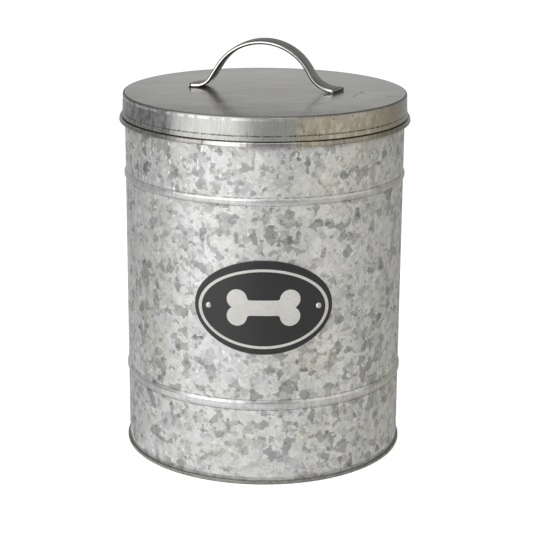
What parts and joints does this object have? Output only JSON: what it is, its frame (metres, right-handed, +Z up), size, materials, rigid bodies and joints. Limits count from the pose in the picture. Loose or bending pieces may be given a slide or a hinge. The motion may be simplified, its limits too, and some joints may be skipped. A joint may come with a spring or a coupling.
{
  "type": "pet food bin",
  "caption": "Round galvanised steel bin with a lift-off cap lid, strap handle and oval front badge, for storing dry pet food.",
  "frame": {"origin": "centre of the foot rim, on the surface the bin stands on", "axes": "+Z up along the bin's axis, -Y towards the front with the badge, +X to the right when looking at the front"},
  "size_m": [0.2498, 0.2498, 0.3558],
  "materials": {
    "galvanised_spangle": "hot-dip galvanised sheet with a large angular zinc spangle, satin",
    "galvanised_plain": "galvanised sheet, dull, darkened along the seam",
    "ring_steel": "plain zinc-plated strip, satin, brown patina to one side",
    "lid_steel": "drawn sheet, satin, faint straight brushing and scratches, patina on the skirt",
    "strap_steel": "dark satin steel, brushed lengthwise, bright worn edges",
    "charcoal_enamel": "charcoal enamel, satin",
    "cream_enamel": "cream enamel, satin, slightly raised",
    "rivet_steel": "plain dome rivet, satin"
  },
  "bodies": {
    "bin": {"body_shell": "galvanised_spangle", "base_pan": "galvanised_plain", "neck_ring": "ring_steel", "badge_plate": "charcoal_enamel", "badge_border": "cream_enamel", "badge_emblem": "cream_enamel", "badge_rivets": "rivet_steel"},
    "lid": {"lid_shell": "lid_steel", "lid_handle": "strap_steel"}
  },
  "joints": [
    {"name": "lid_lift", "type": "slide", "parent": "bin", "child": "lid", "axis": [0, 0, 1], "range_m": [0, 0.25]}
  ]
}
